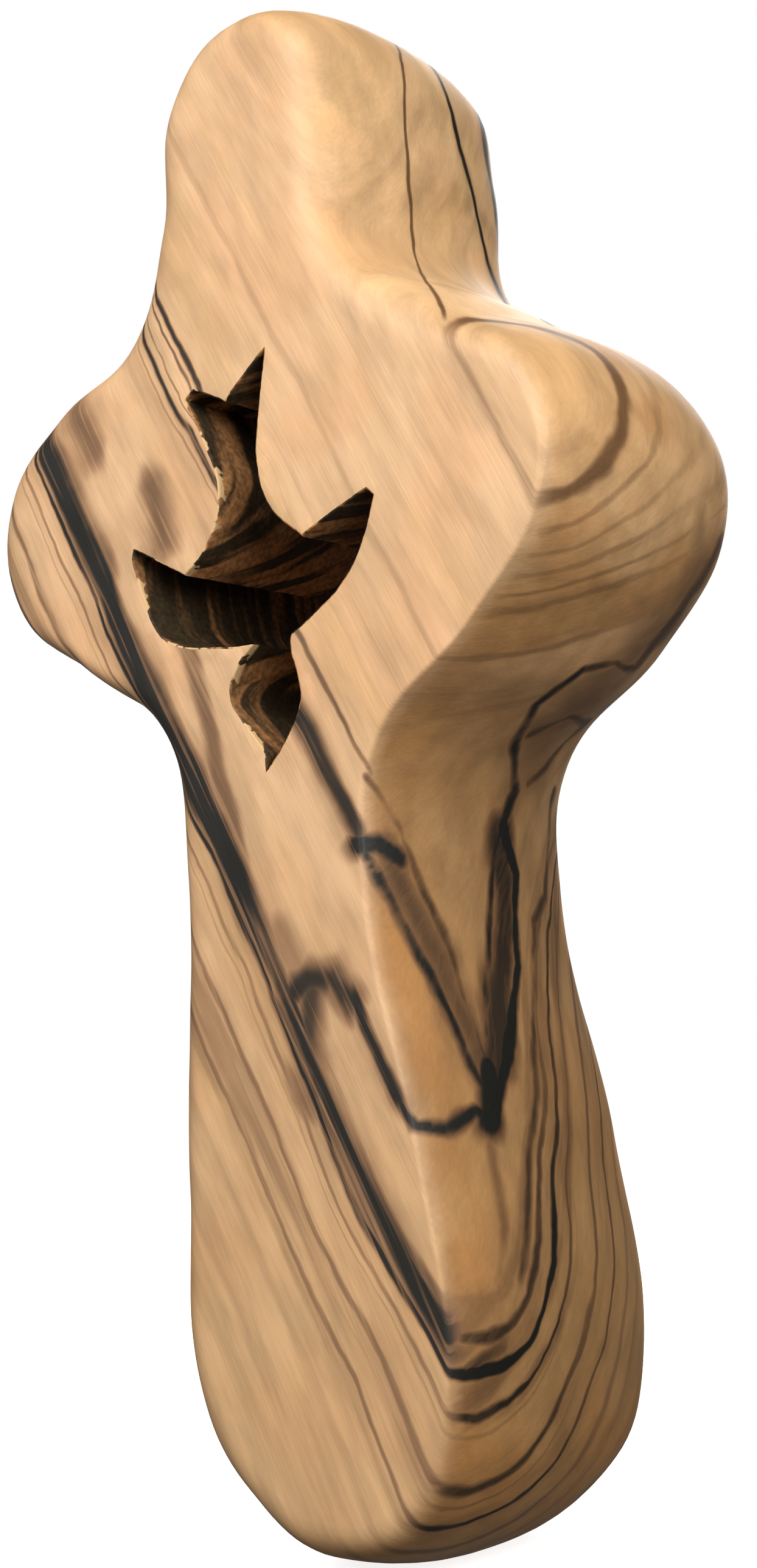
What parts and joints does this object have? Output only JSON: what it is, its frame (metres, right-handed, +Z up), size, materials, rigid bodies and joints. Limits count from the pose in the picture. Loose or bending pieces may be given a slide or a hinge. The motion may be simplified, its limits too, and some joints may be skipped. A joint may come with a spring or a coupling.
{
  "type": "holding cross",
  "caption": "One-piece wooden hand-held prayer cross with rounded arms, flat front and back, and a descending dove cut right through the crossing.",
  "frame": {"origin": "middle of the cross's bounding box", "axes": "+Z up the long arm to the crown, -Y out of the front face, +X to the right of a viewer who faces the front"},
  "size_m": [0.0603, 0.0248, 0.1201],
  "materials": {
    "olive_wood": "oiled satin, hand-sanded"
  },
  "bodies": {
    "root": {"cross_body": "olive_wood"}
  },
  "joints": []
}
